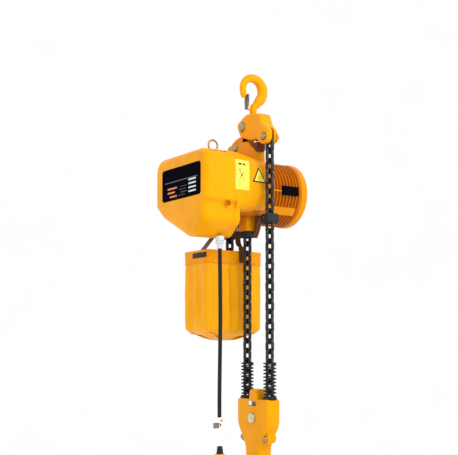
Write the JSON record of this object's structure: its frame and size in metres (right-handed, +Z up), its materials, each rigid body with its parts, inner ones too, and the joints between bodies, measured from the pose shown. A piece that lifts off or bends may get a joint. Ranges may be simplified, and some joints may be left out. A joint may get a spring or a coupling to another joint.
{
  "type": "electric chain hoist",
  "caption": "Hook-suspended electric chain hoist with two falls, a bottom block with a swivel hook, a chain bag and a pendant control.",
  "frame": {"origin": "the point inside the top hook bowl where the hook rests on what holds it", "axes": "+Z up; X along the motor axis with the motor at +X; -Y is the side of the dead fall of chain"},
  "size_m": [0.4795, 0.38, 1.4886],
  "materials": {
    "yellow_paint": "gloss enamel",
    "bright_steel": "zinc plated",
    "dark_steel": "blackened, lightly oiled",
    "cast_aluminium": "as cast",
    "copper_winding": "enamelled winding",
    "iron_core": "laminated",
    "light_plastic": "moulded",
    "black_plastic": "moulded",
    "clear_plastic": "translucent",
    "black_rubber": "matt",
    "yellow_fabric": "coated woven",
    "label_black": "printed foil",
    "pendant_yellow": "moulded",
    "red_plastic": "moulded",
    "white_plastic": "moulded"
  },
  "bodies": {
    "top_hook": {"top_hook": "yellow_paint", "top_hook_nut": "bright_steel"},
    "top_latch": {"top_latch": "dark_steel"},
    "hoist": {"thrust_bearing": "bright_steel", "yoke_front": "yellow_paint", "yoke_rear": "yellow_paint", "suspension_pin": "bright_steel", "dead_end_pin": "bright_steel", "suspension_lug": "yellow_paint", "lug_bolt": "bright_steel", "control_cover": "yellow_paint", "gear_casing": "yellow_paint", "gear_plate": "cast_aluminium", "motor_housing": "yellow_paint", "fan_cover": "yellow_paint", "stator": "copper_winding", "brake_coil": "copper_winding", "shaft_bearing": "bright_steel", "transformer": "iron_core", "contactor_up": "light_plastic", "contactor_down": "light_plastic", "chain_guide": "yellow_paint", "eyebolt": "bright_steel", "cable_gland": "clear_plastic", "chain_bag": "yellow_fabric", "bag_strap_left": "dark_steel", "bag_strap_right": "dark_steel", "end_plate": "label_black", "motor_plate": "label_black", "live_fall_upper": "dark_steel", "dead_fall_upper": "dark_steel", "slack_chain": "dark_steel", "pendant_cable": "black_rubber", "cable_tag": "white_plastic", "pendant_housing": "pendant_yellow"},
    "limit_arm": {"limit_arm": "black_rubber"},
    "rotor": {"rotor_shaft": "bright_steel", "rotor": "iron_core", "fan": "black_plastic", "brake_disc": "dark_steel"},
    "countershaft": {"countershaft": "dark_steel"},
    "load_wheel": {"load_wheel": "dark_steel", "output_gear": "dark_steel"},
    "block": {"block_front": "yellow_paint", "block_rear": "yellow_paint", "sheave_pin": "bright_steel", "clamp_bolt_live": "bright_steel", "clamp_bolt_dead": "bright_steel", "live_fall_lower": "dark_steel", "dead_fall_lower": "dark_steel", "spring_live": "dark_steel", "spring_dead": "dark_steel"},
    "sheave": {"sheave": "dark_steel"},
    "bottom_hook": {"bottom_hook": "yellow_paint", "bottom_hook_nut": "bright_steel"},
    "bottom_latch": {"bottom_latch": "dark_steel"},
    "button_up": {"button_up": "white_plastic"},
    "button_down": {"button_down": "black_plastic"},
    "stop_button": {"stop_button": "red_plastic"}
  },
  "joints": [
    {"name": "hook_swivel", "type": "hinge", "parent": "top_hook", "child": "hoist", "pos_m": [0, 0, -0.12], "axis": [0, 0, 1], "continuous": true},
    {"name": "top_latch_swing", "type": "hinge", "parent": "top_hook", "child": "top_latch", "pos_m": [-0.027, 0, -0.092], "axis": [0, 1, 0], "range_deg": [0, 30], "stiffness_Nm_per_rad": 0.4, "springref_deg": -20.05},
    {"name": "block_lift", "type": "slide", "parent": "hoist", "child": "block", "axis": [0, 0, 1], "range_m": [0, 0.34], "deforming": ["live_fall_upper", "dead_fall_upper", "live_fall_lower", "dead_fall_lower"]},
    {"name": "sheave_spin", "type": "hinge", "parent": "block", "child": "sheave", "pos_m": [0, -0.03, -1.162], "axis": [1, 0, 0], "continuous": true},
    {"name": "load_wheel_spin", "type": "hinge", "parent": "hoist", "child": "load_wheel", "pos_m": [0, 0.091, -0.367], "axis": [1, 0, 0], "continuous": true},
    {"name": "countershaft_spin", "type": "hinge", "parent": "hoist", "child": "countershaft", "pos_m": [0, 0.151, -0.367], "axis": [1, 0, 0], "continuous": true},
    {"name": "rotor_spin", "type": "hinge", "parent": "hoist", "child": "rotor", "pos_m": [0, 0.091, -0.367], "axis": [1, 0, 0], "continuous": true},
    {"name": "limit_arm_tilt", "type": "hinge", "parent": "hoist", "child": "limit_arm", "pos_m": [0, -0.02, -0.473], "axis": [-1, 0, 0], "range_deg": [0, 6], "stiffness_Nm_per_rad": 2, "springref_deg": -22.92},
    {"name": "bottom_hook_swivel", "type": "hinge", "parent": "block", "child": "bottom_hook", "pos_m": [0, -0.03, -1.29], "axis": [0, 0, 1], "continuous": true},
    {"name": "bottom_latch_swing", "type": "hinge", "parent": "bottom_hook", "child": "bottom_latch", "pos_m": [-0.027, -0.03, -1.315], "axis": [0, -1, 0], "range_deg": [0, 30], "stiffness_Nm_per_rad": 0.4, "springref_deg": -20.05},
    {"name": "button_up_press", "type": "slide", "parent": "hoist", "child": "button_up", "axis": [0, 1, 0], "range_m": [0, 0.004], "stiffness_N_per_m": 600},
    {"name": "button_down_press", "type": "slide", "parent": "hoist", "child": "button_down", "axis": [0, 1, 0], "range_m": [0, 0.004], "stiffness_N_per_m": 600},
    {"name": "stop_button_press", "type": "slide", "parent": "hoist", "child": "stop_button", "axis": [0, 1, 0], "range_m": [0, 0.004], "stiffness_N_per_m": 600}
  ],
  "couplings": [
    {"joint": "sheave_spin", "follows": "block_lift", "rad_per_m": 15.152},
    {"joint": "load_wheel_spin", "follows": "block_lift", "rad_per_m": -36.364},
    {"joint": "countershaft_spin", "follows": "block_lift", "rad_per_m": 145.45},
    {"joint": "rotor_spin", "follows": "block_lift", "rad_per_m": -436.36}
  ]
}
